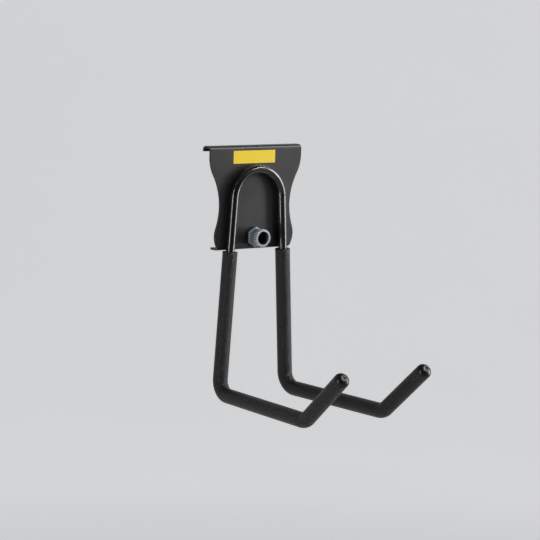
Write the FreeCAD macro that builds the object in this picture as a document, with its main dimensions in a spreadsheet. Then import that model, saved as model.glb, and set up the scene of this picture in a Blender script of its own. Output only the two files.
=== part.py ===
import FreeCAD, Part
import math
import os
import re
import Sketcher

# Garage utility hook: a folded steel bracket that carries a bent bar with two sleeved arms, and a lock screw.
# +Z is up, the hook reaches towards -Y and the wall is at +Y.
# The origin is the middle of the plate's back face.

doc = FreeCAD.newDocument("utility_hook")

# Driving dimensions, in millimetres and degrees

dimensions = [
    ("plate_height", 93.0, "bracket, top to bottom"),
    ("plate_width", 100.8, "bracket at its shoulders"),
    ("waist_inset", 11.7, "each side, from the shoulder in to the waist"),
    ("hip_inset", 7.0, "each side, from the shoulder in to the lower bulge"),
    ("shoulder_radius", 35.0, "curve under the shoulders"),
    ("corner_radius", 2.5, "upper corners, seen from the front"),
    ("foot_corner_radius", 3.0, "lower corners, seen from the front"),
    ("sheet_thickness", 2.0, "steel sheet"),
    ("fold_radius", 1.5, "inside of the sheet's folds"),
    ("flange_depth", 10.0, "flanges behind the plate's back face"),
    ("lip_height", 5.0, "turned-down lip, from the top of the flange"),
    ("bar_diameter", 8.0, "round steel bar"),
    ("arch_radius", 26.3, "centre line of the arch"),
    ("arch_drop", 17.0, "top of the bracket down to the top of the arch"),
    ("leg_splay_angle", 3.5, "each leg out of the vertical"),
    ("leg_drop", 173.5, "arch centre down to the arms' centre line"),
    ("arm_splay_angle", 2.4, "each arm out of straight ahead"),
    ("arm_length", 133.0, "arm, between the corners of its centre line"),
    ("tip_length", 65.5, "tip, from the front corner to the end of the bar"),
    ("tip_rise_angle", 41.5, "tip above the horizontal"),
    ("bar_bend_radius", 14.0, "centre line of the lower and front bends"),
    ("bar_end_chamfer", 0.8, "cut edge at the ends of the bar"),
    ("sleeve_diameter", 13.4, "soft sleeve"),
    ("sleeve_clearance", 0.05, "between the bar and the sleeve's bore"),
    ("sleeve_drop", 0.5, "bottom of the bracket down to the sleeve"),
    ("sleeve_end_wall", 4.0, "closed end, beyond the end of the bar"),
    ("sleeve_end_radius", 4.6, "rounding of the closed end"),
    ("sleeve_mouth_chamfer", 0.6, "outer edge of the open end"),
    ("knob_rise", 11.1, "bottom of the bracket up to the lock screw"),
    ("knob_gap", 0.1, "between the screw's flange and the plate"),
    ("hex_flats", 16.0, "screw's flange, across its flats"),
    ("hex_thickness", 3.2, "screw's flange"),
    ("hex_chamfer", 0.5, "front edge of the flange"),
    ("barrel_diameter", 15.8, "barrel over its ribs"),
    ("neck_diameter", 14.9, "barrel behind its ribs"),
    ("barrel_length", 10.6, "barrel in front of the flange"),
    ("rib_length", 5.0, "ribbed front of the barrel"),
    ("rib_count", 24, "hollows between the ribs"),
    ("rib_hollow_radius", 0.7, "round bottom of each hollow"),
    ("rib_depth", 0.55, "depth of each hollow"),
    ("rim_chamfer", 0.4, "front edge of the barrel"),
    ("socket_diameter", 12.0, "open socket in the barrel"),
    ("socket_depth", 10.0, "open socket in the barrel"),
    ("shank_diameter", 8.0, "screw's shank through the plate"),
    ("shank_clearance", 0.06, "between the shank and the plate's hole"),
    ("shank_reach", 5.0, "shank behind the plate's back face"),
    ("shank_chamfer", 1.0, "end of the shank"),
]

# The waisted sides follow the plate's height. Where two arcs meet smoothly, the rise between their centres
# and the inset between their crests give the sum of their radii, as (rise^2 + inset^2) / (2 * inset).

waist_rise = "(plate_height / 2 - shoulder_drop + waist_drop)"
hip_fall = "(plate_height / 2 - hip_rise - waist_drop)"
hip_step = "(waist_inset - hip_inset)"
worked_out = [
    ("shoulder_drop", "=0.0957 * plate_height", "top of the plate down to where its shoulders start to curve"),
    ("waist_drop", "=0.0785 * plate_height", "waist below the middle of the plate"),
    ("hip_rise", "=0.1366 * plate_height", "bottom of the plate up to the widest point of the lower bulge"),
    ("waist_radius", f"=({waist_rise}^2 + waist_inset^2) / (2 * waist_inset) - shoulder_radius",
     "hollow curve of the waist"),
    ("hip_radius", f"=({hip_fall}^2 + {hip_step}^2) / (2 * {hip_step}) - waist_radius",
     "round curve of the lower bulge"),
]

sheet = doc.addObject("Spreadsheet::Sheet", "Sizes")
for row, (alias, value, note) in enumerate(dimensions + worked_out, start=1):
    sheet.set(f"A{row}", note)
    sheet.set(f"B{row}", str(value))
    sheet.setAlias(f"B{row}", alias)
doc.recompute()

cut_margin = "5"  # how far a cutting profile reaches past the sheet
same_place = 1e-4  # how near two places are to count as one


def size(expression):
    """The value of a cell, or of a sum of cells."""
    return float(sheet.evalExpression(expression))


def sizes_in(expression):
    """The same expression, as an object outside the sheet has to write it."""
    return re.sub(r"[a-z]+(_[a-z]+)+", r"Sizes.\g<0>", expression)


def origin_feature(body, role):
    return next(feature for feature in body.Origin.OriginFeatures if feature.Role == role)


def new_sketch(body, name, role):
    sketch = body.newObject("Sketcher::SketchObject", name)
    sketch.AttachmentSupport = (origin_feature(body, role), "")
    sketch.MapMode = "FlatFace"
    return sketch


def bind(sketch, kind, references, expression):
    """Add a dimension to a sketch, bound to the sheet."""
    index = sketch.addConstraint(Sketcher.Constraint(kind, *references, size(expression)))
    name = f"{kind}_{index}"
    sketch.renameConstraint(index, name)
    sketch.setExpression(f"Constraints.{name}", sizes_in(expression))


def bind_point(sketch, kind, geometry, point, expression):
    """Fix one coordinate of a point: DistanceX or DistanceY from the sketch's origin."""
    value = size(expression)
    axis = -2 if kind == "DistanceX" else -1
    if value == 0:
        sketch.addConstraint(Sketcher.Constraint("PointOnObject", geometry, point, axis))
    elif value > 0:
        bind(sketch, kind, (-1, 1, geometry, point), expression)
    else:
        bind(sketch, kind, (geometry, point, -1, 1), f"-({expression})")


def add_line(sketch, start, end):
    segment = Part.LineSegment(FreeCAD.Vector(*start, 0), FreeCAD.Vector(*end, 0))
    return sketch.addGeometry(segment, False)


def add_arc(sketch, centre, radius, first_angle, last_angle):
    circle = Part.Circle(FreeCAD.Vector(*centre, 0), FreeCAD.Vector(0, 0, 1), radius)
    return sketch.addGeometry(Part.ArcOfCircle(circle, first_angle, last_angle), False)


def join(sketch, *references):
    sketch.addConstraint(Sketcher.Constraint("Coincident", *references))


def smooth_join(sketch, *references):
    sketch.addConstraint(Sketcher.Constraint("Tangent", *references))


def stepped_outline(sketch, corners):
    """A closed outline of upright and level lines through corners given as pairs of expressions."""
    points = [(size(across), size(up)) for across, up in corners]
    following = points[1:] + points[:1]
    lines = [add_line(sketch, start, end) for start, end in zip(points, following)]
    for index, line in enumerate(lines):
        across, up = corners[index]
        join(sketch, line, 2, lines[(index + 1) % len(lines)], 1)
        if corners[index][0] == corners[(index + 1) % len(lines)][0]:
            sketch.addConstraint(Sketcher.Constraint("Vertical", line))
            bind_point(sketch, "DistanceX", line, 1, across)
        else:
            sketch.addConstraint(Sketcher.Constraint("Horizontal", line))
            bind_point(sketch, "DistanceY", line, 1, up)


def edges_where(shape, test):
    return [f"Edge{number}" for number, edge in enumerate(shape.Edges, start=1) if test(edge)]


def runs_along_x(edge, y, z):
    """True for an edge parallel to X through the given y and z."""
    ends = [vertex.Point for vertex in edge.Vertexes]
    near = all(abs(point.y - y) < same_place and abs(point.z - z) < same_place for point in ends)
    return near and edge.BoundBox.XLength > same_place


def circles_at(edge, y, radius):
    """True for a circle about the Y direction, at the given y and of the given radius."""
    round_edge = isinstance(edge.Curve, Part.Circle)
    if not round_edge:
        return False
    return abs(edge.Curve.Center.y - y) < same_place and abs(edge.Curve.Radius - radius) < same_place


def both_ways(feature):
    feature.Type = "ThroughAll"
    feature.SideType = "Symmetric"


# Bracket: one sheet, folded back at the top and the bottom, with a turned-down lip

def add_waisted_outline(sketch):
    """The waste beside the right edge: shoulder, hollow waist, hip and both rounded corners."""
    half_height = size("plate_height") / 2
    shoulder_r = size("shoulder_radius")
    waist_r = size("waist_radius")
    hip_r = size("hip_radius")
    corner_r = size("corner_radius")
    foot_r = size("foot_corner_radius")
    margin = size(cut_margin)

    # centres of the curves, each tangent to the next
    waist_c = (size("plate_width / 2 - waist_inset") + waist_r, -size("waist_drop"))
    shoulder_x = size("plate_width") / 2 - shoulder_r
    shoulder_c = (shoulder_x, waist_c[1] + math.sqrt((waist_r + shoulder_r) ** 2 - (waist_c[0] - shoulder_x) ** 2))
    hip_x = size("plate_width / 2 - hip_inset") - hip_r
    hip_c = (hip_x, waist_c[1] - math.sqrt((waist_r + hip_r) ** 2 - (waist_c[0] - hip_x) ** 2))
    foot_y = -half_height + foot_r
    foot_c = (hip_x + math.sqrt((hip_r - foot_r) ** 2 - (foot_y - hip_c[1]) ** 2), foot_y)
    corner_c = (size("plate_width") / 2 - corner_r, half_height - corner_r)
    shoulder_turn = math.atan2(waist_c[1] - shoulder_c[1], waist_c[0] - shoulder_c[0])
    hip_turn = math.atan2(waist_c[1] - hip_c[1], waist_c[0] - hip_c[0])
    foot_turn = math.atan2(foot_c[1] - hip_c[1], foot_c[0] - hip_c[0])

    shoulder = add_arc(sketch, shoulder_c, shoulder_r, shoulder_turn, 0)
    waist = add_arc(sketch, waist_c, waist_r, math.pi + shoulder_turn, math.pi + hip_turn)
    hip = add_arc(sketch, hip_c, hip_r, foot_turn, hip_turn)
    foot = add_arc(sketch, foot_c, foot_r, -math.pi / 2, foot_turn)
    corner = add_arc(sketch, corner_c, corner_r, 0, math.pi / 2)

    edge_x = size("plate_width") / 2
    outside_x = edge_x + margin
    above_y = half_height + margin
    below_y = -half_height - margin
    side = add_line(sketch, (edge_x, shoulder_c[1]), (edge_x, corner_c[1]))
    rise = add_line(sketch, (corner_c[0], half_height), (corner_c[0], above_y))
    top = add_line(sketch, (corner_c[0], above_y), (outside_x, above_y))
    outside = add_line(sketch, (outside_x, above_y), (outside_x, below_y))
    bottom = add_line(sketch, (outside_x, below_y), (foot_c[0], below_y))
    climb = add_line(sketch, (foot_c[0], below_y), (foot_c[0], -half_height))

    smooth_join(sketch, shoulder, 1, waist, 1)
    smooth_join(sketch, waist, 2, hip, 2)
    smooth_join(sketch, hip, 1, foot, 2)
    smooth_join(sketch, shoulder, 2, side, 1)
    smooth_join(sketch, side, 2, corner, 1)
    join(sketch, corner, 2, rise, 1)
    join(sketch, rise, 2, top, 1)
    join(sketch, top, 2, outside, 1)
    join(sketch, outside, 2, bottom, 1)
    join(sketch, bottom, 2, climb, 1)
    join(sketch, climb, 2, foot, 1)
    for line in (side, rise, outside, climb):
        sketch.addConstraint(Sketcher.Constraint("Vertical", line))
    for line in (top, bottom):
        sketch.addConstraint(Sketcher.Constraint("Horizontal", line))
    sketch.addConstraint(Sketcher.Constraint("Vertical", corner, 3, corner, 2))
    sketch.addConstraint(Sketcher.Constraint("Vertical", foot, 3, foot, 1))

    bind(sketch, "Radius", (shoulder,), "shoulder_radius")
    bind(sketch, "Radius", (waist,), "waist_radius")
    bind(sketch, "Radius", (hip,), "hip_radius")
    bind(sketch, "Radius", (foot,), "foot_corner_radius")
    bind(sketch, "Radius", (corner,), "corner_radius")
    bind_point(sketch, "DistanceX", waist, 3, "plate_width / 2 - waist_inset + waist_radius")
    bind_point(sketch, "DistanceY", waist, 3, "-waist_drop")
    bind_point(sketch, "DistanceX", shoulder, 3, "plate_width / 2 - shoulder_radius")
    bind_point(sketch, "DistanceX", hip, 3, "plate_width / 2 - hip_inset - hip_radius")
    bind_point(sketch, "DistanceY", corner, 2, "plate_height / 2")
    bind_point(sketch, "DistanceY", foot, 1, "-plate_height / 2")
    bind_point(sketch, "DistanceY", top, 1, f"plate_height / 2 + {cut_margin}")
    bind_point(sketch, "DistanceX", outside, 1, f"plate_width / 2 + {cut_margin}")
    bind_point(sketch, "DistanceY", bottom, 1, f"-plate_height / 2 - {cut_margin}")


def make_bracket():
    body = doc.addObject("PartDesign::Body", "bracket")
    top = "plate_height / 2"
    bottom = "-plate_height / 2"

    blank = new_sketch(body, "bracket_blank", "YZ_Plane")
    stepped_outline(blank, [
        ("-sheet_thickness", bottom),
        ("flange_depth", bottom),
        ("flange_depth", top),
        ("-sheet_thickness", top),
    ])
    block = body.newObject("PartDesign::Pad", "bracket_block")
    block.Profile = blank
    block.SideType = "Symmetric"
    block.setExpression("Length", "Sizes.plate_width")
    doc.recompute()

    front_y = -size("sheet_thickness")
    rear_y = size("flange_depth")
    top_z = size(top)
    outer_folds = [(front_y, top_z), (front_y, -top_z), (rear_y, top_z)]
    outside = body.newObject("PartDesign::Fillet", "bracket_outer_folds")
    folded = edges_where(block.Shape, lambda edge: any(runs_along_x(edge, y, z) for y, z in outer_folds))
    outside.Base = (block, folded)
    outside.setExpression("Radius", "Sizes.fold_radius + Sizes.sheet_thickness")

    hollow = new_sketch(body, "bracket_hollow", "YZ_Plane")
    roof = "plate_height / 2 - sheet_thickness"
    floor = "-plate_height / 2 + sheet_thickness"
    lip_face = "flange_depth - sheet_thickness"
    lip_end = "plate_height / 2 - lip_height"
    behind = f"flange_depth + {cut_margin}"
    stepped_outline(hollow, [
        ("0", floor),
        (behind, floor),
        (behind, lip_end),
        (lip_face, lip_end),
        (lip_face, roof),
        ("0", roof),
    ])
    channel = body.newObject("PartDesign::Pocket", "bracket_channel")
    channel.Profile = hollow
    both_ways(channel)
    doc.recompute()

    inner_folds = [(0, size(roof)), (0, size(floor)), (size(lip_face), size(roof))]
    inside = body.newObject("PartDesign::Fillet", "bracket_inner_folds")
    creased = edges_where(channel.Shape, lambda edge: any(runs_along_x(edge, y, z) for y, z in inner_folds))
    inside.Base = (channel, creased)
    inside.setExpression("Radius", "Sizes.fold_radius")

    outline = new_sketch(body, "bracket_waist", "XZ_Plane")
    add_waisted_outline(outline)
    right_side = body.newObject("PartDesign::Pocket", "bracket_right_side")
    right_side.Profile = outline
    both_ways(right_side)
    left_side = body.newObject("PartDesign::Mirrored", "bracket_left_side")
    left_side.Originals = [right_side]
    left_side.MirrorPlane = (origin_feature(body, "YZ_Plane"), [""])
    body.Tip = left_side

    hole = new_sketch(body, "bracket_screw_hole", "XZ_Plane")
    hole_z = size(f"{bottom} + knob_rise")
    hole_r = size("shank_diameter / 2 + shank_clearance")
    ring = hole.addGeometry(Part.Circle(FreeCAD.Vector(0, hole_z, 0), FreeCAD.Vector(0, 0, 1), hole_r), False)
    hole.addConstraint(Sketcher.Constraint("PointOnObject", ring, 3, -2))
    bind_point(hole, "DistanceY", ring, 3, f"{bottom} + knob_rise")
    bind(hole, "Radius", (ring,), "shank_diameter / 2 + shank_clearance")
    drilled = body.newObject("PartDesign::Pocket", "bracket_screw_passage")
    drilled.Profile = hole
    both_ways(drilled)
    body.Tip = drilled
    doc.recompute()
    return body


# Hook bar: one round bar bent in three dimensions, so its path is worked out here

def bar_corners(side):
    """Corners of one half's centre line: arch end, lower bend, front bend, end. Side is 1 or -1."""
    splay = math.radians(size("leg_splay_angle"))
    swing = math.radians(size("arm_splay_angle"))
    rise = math.radians(size("tip_rise_angle"))
    arch_r = size("arch_radius")
    bar_y = -size("sheet_thickness + bar_diameter / 2")
    arch_z = size("plate_height / 2 - arch_drop - bar_diameter / 2 - arch_radius")
    arch_end = FreeCAD.Vector(side * arch_r * math.cos(splay), bar_y, arch_z + arch_r * math.sin(splay))
    leg_run = (arch_end.z - arch_z + size("leg_drop")) / math.cos(splay)
    lower = arch_end + FreeCAD.Vector(side * math.sin(splay), 0, -math.cos(splay)) * leg_run
    ahead = FreeCAD.Vector(side * math.sin(swing), -math.cos(swing), 0)
    front = lower + ahead * size("arm_length")
    end = front + (ahead * math.cos(rise) + FreeCAD.Vector(0, 0, math.sin(rise))) * size("tip_length")
    return arch_end, lower, front, end


def rounded_run(points, radius):
    """Straight edges through the points, with an arc of the given radius in place of each inner corner."""
    edges = []
    start = points[0]
    for before, corner, after in zip(points, points[1:], points[2:]):
        incoming = (before - corner).normalize()
        outgoing = (after - corner).normalize()
        half_angle = incoming.getAngle(outgoing) / 2
        setback = radius / math.tan(half_angle)
        first = corner + incoming * setback
        last = corner + outgoing * setback
        inward = (incoming + outgoing).normalize()
        middle = corner + inward * (radius / math.sin(half_angle) - radius)
        edges.append(Part.LineSegment(start, first).toShape())
        edges.append(Part.Arc(first, middle, last).toShape())
        start = last
    edges.append(Part.LineSegment(start, points[-1]).toShape())
    return edges


def round_bar(edges, radius):
    """A round bar along tangent lines and arcs: cylinders and parts of rings, joined end to end."""
    stretches = []
    for edge in edges:
        first, last = edge.ParameterRange
        start = edge.valueAt(first)
        section = Part.Face(Part.Wire([Part.makeCircle(radius, start, edge.tangentAt(first))]))
        if isinstance(edge.Curve, Part.Circle):
            turn = math.degrees(last - first)
            stretches.append(section.revolve(edge.Curve.Center, edge.Curve.Axis, turn))
        else:
            stretches.append(section.extrude(edge.valueAt(last) - start))
    return stretches[0].multiFuse(stretches[1:]).removeSplitter()


def ends_near(shape, points, radius):
    """The circular edges of the given radius that are centred on one of the points."""
    found = []
    for edge in shape.Edges:
        if isinstance(edge.Curve, Part.Circle) and abs(edge.Curve.Radius - radius) < same_place:
            if any(edge.Curve.Center.distanceToPoint(point) < same_place for point in points):
                found.append(edge)
    return found


def make_hook_bar():
    arch_end_left, lower_left, front_left, end_left = bar_corners(-1)
    arch_end_right, lower_right, front_right, end_right = bar_corners(1)
    bend_r = size("bar_bend_radius")
    arch_top_z = size("plate_height / 2 - arch_drop - bar_diameter / 2")
    arch_top = FreeCAD.Vector(0, arch_end_left.y, arch_top_z)
    left_run = rounded_run([end_left, front_left, lower_left, arch_end_left], bend_r)
    arch = Part.Arc(arch_end_left, arch_top, arch_end_right).toShape()
    right_run = rounded_run([arch_end_right, lower_right, front_right, end_right], bend_r)
    bar_r = size("bar_diameter / 2")
    solid = round_bar(left_run + [arch] + right_run, bar_r)
    cut_ends = ends_near(solid, [end_left, end_right], bar_r)
    bar = doc.addObject("Part::Feature", "hook_rod")
    bar.Shape = solid.makeChamfer(size("bar_end_chamfer"), cut_ends)
    return bar


# Sleeves: soft tubes over the legs, arms and tips, closed at the front

def make_sleeve(name, side):
    arch_end, lower, front, end = bar_corners(side)
    bend_r = size("bar_bend_radius")
    bore_r = size("bar_diameter / 2 + sleeve_clearance")
    sleeve_r = size("sleeve_diameter / 2")
    up_the_leg = (arch_end - lower).normalize()
    mouth_z = size("-plate_height / 2 - sleeve_drop")
    mouth = lower + up_the_leg * ((mouth_z - lower.z) / up_the_leg.z)
    forward = (end - front).normalize()
    closed_end = end + forward * size("sleeve_end_wall")
    bore_end = end + forward * size("sleeve_clearance")

    outer = round_bar(rounded_run([mouth, lower, front, closed_end], bend_r), sleeve_r)
    outer = outer.makeFillet(size("sleeve_end_radius"), ends_near(outer, [closed_end], sleeve_r))
    outer = outer.makeChamfer(size("sleeve_mouth_chamfer"), ends_near(outer, [mouth], sleeve_r))
    bore = round_bar(rounded_run([arch_end, lower, front, bore_end], bend_r), bore_r)
    sleeve = doc.addObject("Part::Feature", name)
    sleeve.Shape = outer.cut(bore)
    return sleeve


# Lock screw: hexagonal flange, ribbed barrel with an open socket, and a shank through the plate

def add_hexagon(sketch, radius_expression):
    """A hexagon with a corner at the top, on a guide circle about the origin."""
    radius = size(radius_expression)
    guide = sketch.addGeometry(Part.Circle(FreeCAD.Vector(0, 0, 0), FreeCAD.Vector(0, 0, 1), radius), True)
    join(sketch, guide, 3, -1, 1)
    bind(sketch, "Radius", (guide,), radius_expression)
    turns = [math.radians(90 + 60 * step) for step in range(7)]
    points = [(radius * math.cos(turn), radius * math.sin(turn)) for turn in turns]
    lines = [add_line(sketch, start, end) for start, end in zip(points, points[1:])]
    for line, following in zip(lines, lines[1:] + lines[:1]):
        join(sketch, line, 2, following, 1)
        sketch.addConstraint(Sketcher.Constraint("PointOnObject", line, 1, guide))
    for line in lines[1:]:
        sketch.addConstraint(Sketcher.Constraint("Equal", lines[0], line))
    sketch.addConstraint(Sketcher.Constraint("PointOnObject", lines[0], 1, -2))


def make_lock_knob():
    body = doc.addObject("PartDesign::Body", "lock_knob")
    front = "-hex_thickness - barrel_length"

    hexagon = new_sketch(body, "knob_hexagon", "XZ_Plane")
    add_hexagon(hexagon, "hex_flats / sqrt(3)")
    flange = body.newObject("PartDesign::Pad", "knob_flange")
    flange.Profile = hexagon
    flange.setExpression("Length", "Sizes.hex_thickness")
    doc.recompute()

    flange_front = -size("hex_thickness")
    front_edges = edges_where(
        flange.Shape,
        lambda edge: abs(edge.BoundBox.YMin - flange_front) < same_place and edge.BoundBox.YLength < same_place,
    )
    eased = body.newObject("PartDesign::Chamfer", "knob_flange_edge")
    eased.Base = (flange, front_edges)
    eased.setExpression("Size", "Sizes.hex_chamfer")

    profile = new_sketch(body, "knob_profile", "YZ_Plane")
    rib_start = f"{front} + rib_length"
    stepped_outline(profile, [
        ("-hex_thickness", "0"),
        ("-hex_thickness", "neck_diameter / 2"),
        (rib_start, "neck_diameter / 2"),
        (rib_start, "barrel_diameter / 2"),
        (front, "barrel_diameter / 2"),
        (front, "0"),
    ])
    barrel = body.newObject("PartDesign::Revolution", "knob_barrel")
    barrel.Profile = profile
    barrel.ReferenceAxis = (profile, ["H_Axis"])
    barrel.Angle = 360
    doc.recompute()

    rim_y = size(front)
    rim_edges = edges_where(barrel.Shape, lambda edge: circles_at(edge, rim_y, size("barrel_diameter / 2")))
    rim = body.newObject("PartDesign::Chamfer", "knob_rim")
    rim.Base = (barrel, rim_edges)
    rim.setExpression("Size", "Sizes.rim_chamfer")

    opening = new_sketch(body, "knob_socket_profile", "YZ_Plane")
    socket_floor = f"{front} + socket_depth"
    socket_mouth = f"{front} - {cut_margin}"
    stepped_outline(opening, [
        (socket_floor, "0"),
        (socket_floor, "socket_diameter / 2"),
        (socket_mouth, "socket_diameter / 2"),
        (socket_mouth, "0"),
    ])
    socket = body.newObject("PartDesign::Groove", "knob_socket")
    socket.Profile = opening
    socket.ReferenceAxis = (opening, ["H_Axis"])
    socket.Angle = 360

    hollow = new_sketch(body, "knob_rib_hollow", "XZ_Plane")
    hollow.setExpression("AttachmentOffset.Base.z", "Sizes.hex_thickness + Sizes.barrel_length")
    hollow_z = "barrel_diameter / 2 + rib_hollow_radius - rib_depth"
    circle = Part.Circle(FreeCAD.Vector(0, size(hollow_z), 0), FreeCAD.Vector(0, 0, 1), size("rib_hollow_radius"))
    ring = hollow.addGeometry(circle, False)
    hollow.addConstraint(Sketcher.Constraint("PointOnObject", ring, 3, -2))
    bind_point(hollow, "DistanceY", ring, 3, hollow_z)
    bind(hollow, "Radius", (ring,), "rib_hollow_radius")
    flute = body.newObject("PartDesign::Pocket", "knob_flute")
    flute.Profile = hollow
    flute.setExpression("Length", "Sizes.rib_length")
    ribs = body.newObject("PartDesign::PolarPattern", "knob_ribs")
    ribs.Originals = [flute]
    ribs.Axis = (origin_feature(body, "Y_Axis"), [""])
    ribs.Angle = 360
    ribs.setExpression("Occurrences", "Sizes.rib_count")
    body.Tip = ribs
    doc.recompute()

    shank_end = new_sketch(body, "knob_shank_section", "XZ_Plane")
    shank_r = size("shank_diameter / 2")
    ring = shank_end.addGeometry(Part.Circle(FreeCAD.Vector(0, 0, 0), FreeCAD.Vector(0, 0, 1), shank_r), False)
    join(shank_end, ring, 3, -1, 1)
    bind(shank_end, "Radius", (ring,), "shank_diameter / 2")
    shank = body.newObject("PartDesign::Pad", "knob_shank")
    shank.Profile = shank_end
    shank.Reversed = True
    shank.setExpression("Length", "Sizes.knob_gap + Sizes.sheet_thickness + Sizes.shank_reach")
    body.Tip = shank
    doc.recompute()

    tail_y = size("knob_gap + sheet_thickness + shank_reach")
    tail = body.newObject("PartDesign::Chamfer", "knob_shank_tail")
    tail.Base = (shank, edges_where(shank.Shape, lambda edge: circles_at(edge, tail_y, shank_r)))
    tail.setExpression("Size", "Sizes.shank_chamfer")
    body.Tip = tail

    body.setExpression("Placement.Base.y", "-Sizes.sheet_thickness - Sizes.knob_gap")
    body.setExpression("Placement.Base.z", "-Sizes.plate_height / 2 + Sizes.knob_rise")
    doc.recompute()
    return body


pieces = [
    make_bracket(),
    make_hook_bar(),
    make_sleeve("sleeve_left", -1),
    make_sleeve("sleeve_right", 1),
    make_lock_knob(),
]
doc.recompute()

for item in doc.Objects:
    if "Invalid" in item.State or "Error" in item.State:
        raise RuntimeError(f"{item.Name} failed: {item.State}")

os.makedirs("parts", exist_ok=True)
for piece in pieces:
    shape = piece.Shape
    if shape.isNull() or not shape.isValid() or len(shape.Solids) != 1:
        raise RuntimeError(f"{piece.Label} is not one valid solid")
    shape.exportStep(f"parts/{piece.Label}.step")
    print(piece.Label, f"{shape.Volume:.0f} mm3", shape.BoundBox)
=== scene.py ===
import bmesh
import bpy
import math
from mathutils import Matrix, Vector


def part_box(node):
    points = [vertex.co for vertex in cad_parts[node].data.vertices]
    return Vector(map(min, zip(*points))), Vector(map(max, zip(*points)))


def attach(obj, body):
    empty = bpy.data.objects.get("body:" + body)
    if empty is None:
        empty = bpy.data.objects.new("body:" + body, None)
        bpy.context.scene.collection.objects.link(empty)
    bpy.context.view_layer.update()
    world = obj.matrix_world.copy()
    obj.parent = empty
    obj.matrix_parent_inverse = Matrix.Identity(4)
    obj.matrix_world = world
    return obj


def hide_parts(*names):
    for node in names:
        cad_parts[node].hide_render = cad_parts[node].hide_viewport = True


# Garage utility hook: a folded bracket, a bent bar with two soft sleeves, and a lock screw
# Metres. Z is up, the hook reaches towards -Y and the wall is at +Y

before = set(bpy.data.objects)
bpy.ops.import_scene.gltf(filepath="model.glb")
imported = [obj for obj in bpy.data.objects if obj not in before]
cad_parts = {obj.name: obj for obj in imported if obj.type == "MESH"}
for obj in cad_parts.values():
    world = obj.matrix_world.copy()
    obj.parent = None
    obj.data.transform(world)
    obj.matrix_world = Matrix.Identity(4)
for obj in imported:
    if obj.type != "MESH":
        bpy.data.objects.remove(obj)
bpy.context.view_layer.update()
mm = 0.001
slack = 0.01 * mm  # places closer than this count as the same
weldDistance = 0.002 * mm
quarter = math.radians(90)
print("frame loaded")


# Small tools

def vertsOf(edges):
    return list(dict.fromkeys(vert for edge in edges for vert in edge.verts))


def edgesAmong(verts):
    inside = set(verts)
    edges = dict.fromkeys(edge for vert in verts for edge in vert.link_edges)
    return [edge for edge in edges if all(vert in inside for vert in edge.verts)]


def pushEdges(bm, edges, move, shrink=1.0):  # extrudes a ring or a row, and scales a ring about its centre
    grown = bmesh.ops.extrude_edge_only(bm, edges=edges)["geom"]
    verts = [item for item in grown if isinstance(item, bmesh.types.BMVert)]
    bmesh.ops.translate(bm, vec=move, verts=verts)
    if shrink != 1.0:
        middle = sum((vert.co for vert in verts), Vector()) / len(verts)
        bmesh.ops.scale(bm, vec=(shrink,) * 3, space=Matrix.Translation(-middle), verts=verts)
    return edgesAmong(verts)


def spinEdges(bm, edges, centre, axis, angle, steps):
    turned = bmesh.ops.spin(
        bm, geom=vertsOf(edges) + edges, cent=centre, axis=axis, dvec=(0, 0, 0),
        angle=angle, steps=steps, use_duplicate=False,
    )
    return [item for item in turned["geom_last"] if isinstance(item, bmesh.types.BMEdge)]


def addRing(bm, place, heading, radius, points):
    stand = Matrix.Translation(place) @ heading.to_track_quat("Z", "Y").to_matrix().to_4x4()
    verts = bmesh.ops.create_circle(bm, cap_ends=False, segments=points, radius=radius, matrix=stand)["verts"]
    return edgesAmong(verts)


def runTube(bm, corners, bends, radius, points, bendSteps, straightStep):  # straights pushed, bends spun
    place = corners[0]
    first = edges = addRing(bm, place, (corners[1] - place).normalized(), radius, points)
    for before, corner, after, bend in zip(corners, corners[1:], corners[2:], bends):
        incoming = (corner - before).normalized()
        outgoing = (after - corner).normalized()
        turn = incoming.angle(outgoing)
        setback = bend * math.tan(turn / 2)
        axis = incoming.cross(outgoing).normalized()
        bendStart = corner - incoming * setback
        edges = pushStraight(bm, edges, bendStart - place, straightStep)
        steps = max(4, round(bendSteps * turn / quarter))
        edges = spinEdges(bm, edges, bendStart + axis.cross(incoming) * bend, axis, turn, steps)
        place = corner + outgoing * setback
    edges = pushStraight(bm, edges, corners[-1] - place, straightStep)
    return first, edges


def pushStraight(bm, edges, move, step):
    count = max(1, round(move.length / step))
    for index in range(count):
        edges = pushEdges(bm, edges, move / count)
    return edges


def roundEnd(bm, edges, heading, radius, rounding, steps):  # turns a tube's end inwards by a quarter circle
    width = radius
    advance = 0.0
    for step in range(1, steps + 1):
        turn = quarter * step / steps
        nextWidth = radius - rounding * (1 - math.cos(turn))
        nextAdvance = rounding * math.sin(turn)
        edges = pushEdges(bm, edges, heading * (nextAdvance - advance), nextWidth / width)
        width, advance = nextWidth, nextAdvance
    return edges


def closeRing(bm, edges):
    bmesh.ops.edgeloop_fill(bm, edges=edges)


def makeObject(name, bm, material):
    bmesh.ops.recalc_face_normals(bm, faces=bm.faces)
    mesh = bpy.data.meshes.new(name)
    bm.to_mesh(mesh)
    bm.free()
    mesh.shade_smooth()
    mesh.materials.append(material)
    thing = bpy.data.objects.new(name, mesh)
    bpy.context.scene.collection.objects.link(thing)
    return thing


def makePiece(name, bm, material, body, sharpAngle=35):
    bmesh.ops.remove_doubles(bm, verts=bm.verts, dist=weldDistance)
    piece = makeObject(name, bm, material)
    piece.data.set_sharp_from_angle(angle=math.radians(sharpAngle))
    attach(piece, body)
    print(name, len(piece.data.polygons), "faces")
    return piece


def linear(hexColour):  # sRGB hex to the renderer's linear colour
    shares = [int(hexColour[start:start + 2], 16) / 255 for start in (1, 3, 5)]
    colour = [share / 12.92 if share <= 0.04045 else ((share + 0.055) / 1.055) ** 2.4 for share in shares]
    return colour + [1.0]


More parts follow.
